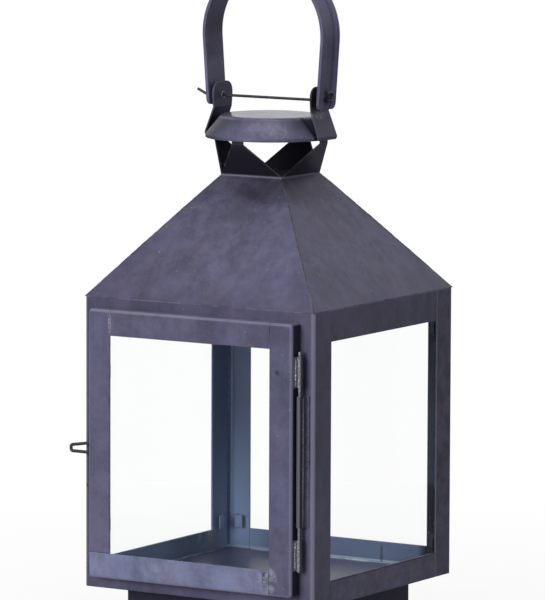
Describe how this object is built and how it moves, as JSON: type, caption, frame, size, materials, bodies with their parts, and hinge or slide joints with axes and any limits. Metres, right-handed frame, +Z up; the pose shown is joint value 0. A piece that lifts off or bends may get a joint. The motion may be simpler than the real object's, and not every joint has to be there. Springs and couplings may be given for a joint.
{
  "type": "candle lantern",
  "caption": "Square candle lantern of folded sheet iron: glazed sides, a hinged glass door, a hipped roof with flared vent tabs under a round cap, and a swinging bail handle.",
  "frame": {"origin": "on the ground, under the middle of the square body, at the centre of the foot's lower edge", "axes": "+Z up; the door faces -Y, its hinge is on the +X side and its wire pull on the -X side; the handle's pin runs along X"},
  "size_m": [0.1304, 0.1327, 0.3104],
  "materials": {
    "blackened_iron": "satin",
    "clear_glass": "polished",
    "soldered_steel": "rough",
    "tinned_clip": "dull",
    "black_wire": "satin"
  },
  "bodies": {
    "body": {"base_foot": "blackened_iron", "floor_pan": "blackened_iron", "front_left_post": "blackened_iron", "front_right_post": "blackened_iron", "back_left_post": "blackened_iron", "back_right_post": "blackened_iron", "front_bottom_rail": "blackened_iron", "right_bottom_rail": "blackened_iron", "back_bottom_rail": "blackened_iron", "left_bottom_rail": "blackened_iron", "front_top_rail": "blackened_iron", "right_top_rail": "blackened_iron", "back_top_rail": "blackened_iron", "left_top_rail": "blackened_iron", "right_pane": "clear_glass", "back_pane": "clear_glass", "left_pane": "clear_glass", "right_pane_clips": "tinned_clip", "back_pane_clips": "tinned_clip", "left_pane_clips": "tinned_clip", "front_roof_panel": "blackened_iron", "right_roof_panel": "blackened_iron", "back_roof_panel": "blackened_iron", "left_roof_panel": "blackened_iron", "vent_cap": "blackened_iron", "left_handle_strap": "blackened_iron", "right_handle_strap": "blackened_iron", "handle_pin": "black_wire", "hinge_rod": "soldered_steel", "hinge_post_leaf": "soldered_steel"},
    "door": {"door_left_stile": "blackened_iron", "door_right_stile": "blackened_iron", "door_top_rail": "blackened_iron", "door_bottom_rail": "blackened_iron", "door_glass": "clear_glass", "door_glass_clips": "tinned_clip", "upper_hinge_leaf": "soldered_steel", "lower_hinge_leaf": "soldered_steel", "door_pull": "black_wire"},
    "handle": {"handle": "blackened_iron"}
  },
  "joints": [
    {"name": "door_hinge", "type": "hinge", "parent": "body", "child": "door", "pos_m": [0.0571, -0.066, 0.09], "axis": [0, 0, 1], "range_deg": [0, 135]},
    {"name": "handle_hinge", "type": "hinge", "parent": "body", "child": "handle", "pos_m": [0, 0, 0.2478], "axis": [1, 0, 0], "range_deg": [-120, 120]}
  ]
}
